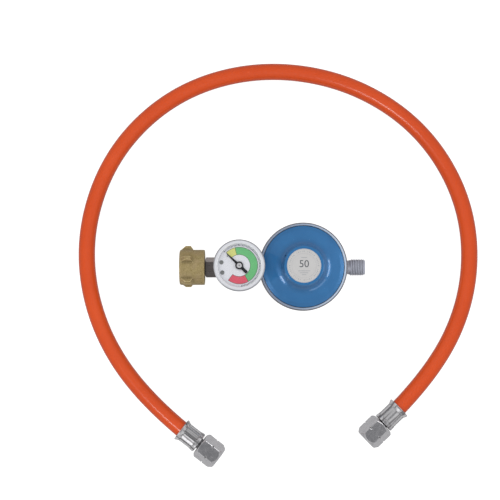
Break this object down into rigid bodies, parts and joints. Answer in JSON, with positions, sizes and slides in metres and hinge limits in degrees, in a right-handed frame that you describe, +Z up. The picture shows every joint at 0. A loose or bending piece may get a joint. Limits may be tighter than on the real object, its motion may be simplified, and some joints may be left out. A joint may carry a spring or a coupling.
{
  "type": "propane regulator with gauge and hose",
  "caption": "Low-pressure gas regulator with a pressure gauge, a lugged inlet nut for a bottle, a threaded outlet and a loose orange hose with crimped swivel-nut fittings.",
  "frame": {"origin": "centre of the housing's foot, on the diaphragm's axis, at the surface it stands on", "axes": "+X out of the outlet along the gas line, +Z up out of the label, +Y towards the hose loop's far side"},
  "size_m": [0.3247, 0.3282, 0.0526],
  "materials": {
    "cast_zinc": "grey zinc die casting, satin",
    "blue_paint": "blue baked enamel, semi-gloss",
    "label": "pale grey printed foil",
    "brass": "raw brass, dull",
    "zinc_steel": "bright zinc-plated steel",
    "spring_steel": "plain spring wire",
    "rubber": "black nitrile rubber",
    "hose_rubber": "orange gas hose, satin",
    "case_steel": "silver-grey lacquer",
    "lens": "clear window",
    "dial_white": "white enamel, printed scale",
    "black_enamel": "matt black enamel",
    "dark_steel": "blackened steel",
    "plug_plastic": "black moulded plug"
  },
  "bodies": {
    "regulator": {"housing_body": "cast_zinc", "housing_lid": "blue_paint", "label_disc": "label", "adjusting_plug": "plug_plastic", "main_spring": "spring_steel", "diaphragm": "rubber", "lever_pin": "spring_steel", "inlet_orifice": "brass", "inlet_nipple": "zinc_steel", "inlet_seal": "rubber", "inlet_filter": "brass", "gauge_tee": "zinc_steel", "gauge_socket": "brass", "gauge_seal": "rubber", "gauge_case": "case_steel", "gauge_bezel": "case_steel", "gauge_lens": "lens", "gauge_dial": "dial_white", "dial_screws": "dark_steel", "stop_pin": "brass", "movement_plates": "brass", "bourdon_tube": "brass"},
    "wing_nut": {"wing_nut": "brass"},
    "diaphragm_stack": {"diaphragm_plate": "zinc_steel", "diaphragm_stem": "brass", "stem_nut": "zinc_steel"},
    "lever": {"lever": "zinc_steel", "valve_pad": "rubber"},
    "pointer": {"gauge_needle": "black_enamel", "needle_cap": "zinc_steel", "pinion_arbor": "brass"},
    "sector": {"sector_gear": "brass"},
    "link": {"bourdon_link": "brass"},
    "hose": {"hose_tube": "hose_rubber", "ferrule_a": "zinc_steel", "ferrule_b": "zinc_steel", "hose_nipple_a": "zinc_steel", "hose_nipple_b": "zinc_steel"},
    "union_nut_a": {"union_nut_a": "zinc_steel"},
    "union_nut_b": {"union_nut_b": "zinc_steel"}
  },
  "joints": [
    {"name": "wing_nut_spin", "type": "hinge", "parent": "regulator", "child": "wing_nut", "pos_m": [-0.0888, 0, 0.0175], "axis": [1, 0, 0], "continuous": true},
    {"name": "diaphragm_travel", "type": "slide", "parent": "regulator", "child": "diaphragm_stack", "axis": [0, 0, 1], "range_m": [0, 0.0028], "stiffness_N_per_m": 300, "springref_m": -0.01, "deforming": ["main_spring", "diaphragm"]},
    {"name": "lever_turn", "type": "hinge", "parent": "regulator", "child": "lever", "pos_m": [-0.011, 0, 0.013], "axis": [0, -1, 0], "range_deg": [0, 14.6]},
    {"name": "pointer_turn", "type": "hinge", "parent": "regulator", "child": "pointer", "pos_m": [-0.0508, 0, 0.0484], "axis": [0, 0, 1], "range_deg": [-264, 0], "stiffness_Nm_per_rad": 0.00002, "springref_deg": 17.19},
    {"name": "sector_turn", "type": "hinge", "parent": "regulator", "child": "sector", "pos_m": [-0.0508, -0.01153, 0.04], "axis": [0, 0, 1], "range_deg": [0, 39.7]},
    {"name": "link_turn", "type": "hinge", "parent": "sector", "child": "link", "pos_m": [-0.05007, -0.00729, 0.041], "axis": [0, 0, 1], "range_deg": [-39.7, 0]},
    {"name": "hose_lift", "type": "slide", "parent": "regulator", "child": "hose", "axis": [0, 0, 1], "range_m": [0, 0.08]},
    {"name": "union_nut_a_spin", "type": "hinge", "parent": "hose", "child": "union_nut_a", "pos_m": [-0.074, -0.14831, 0.0095], "axis": [0.7934, -0.6088, 0], "continuous": true},
    {"name": "union_nut_b_spin", "type": "hinge", "parent": "hose", "child": "union_nut_b", "pos_m": [0.05625, -0.13341, 0.0095], "axis": [-0.7218, -0.6921, 0], "continuous": true}
  ],
  "couplings": [
    {"joint": "lever_turn", "follows": "diaphragm_travel", "rad_per_m": 90.909},
    {"joint": "sector_turn", "follows": "pointer_turn", "ratio": -0.15},
    {"joint": "link_turn", "follows": "pointer_turn", "ratio": 0.15}
  ]
}
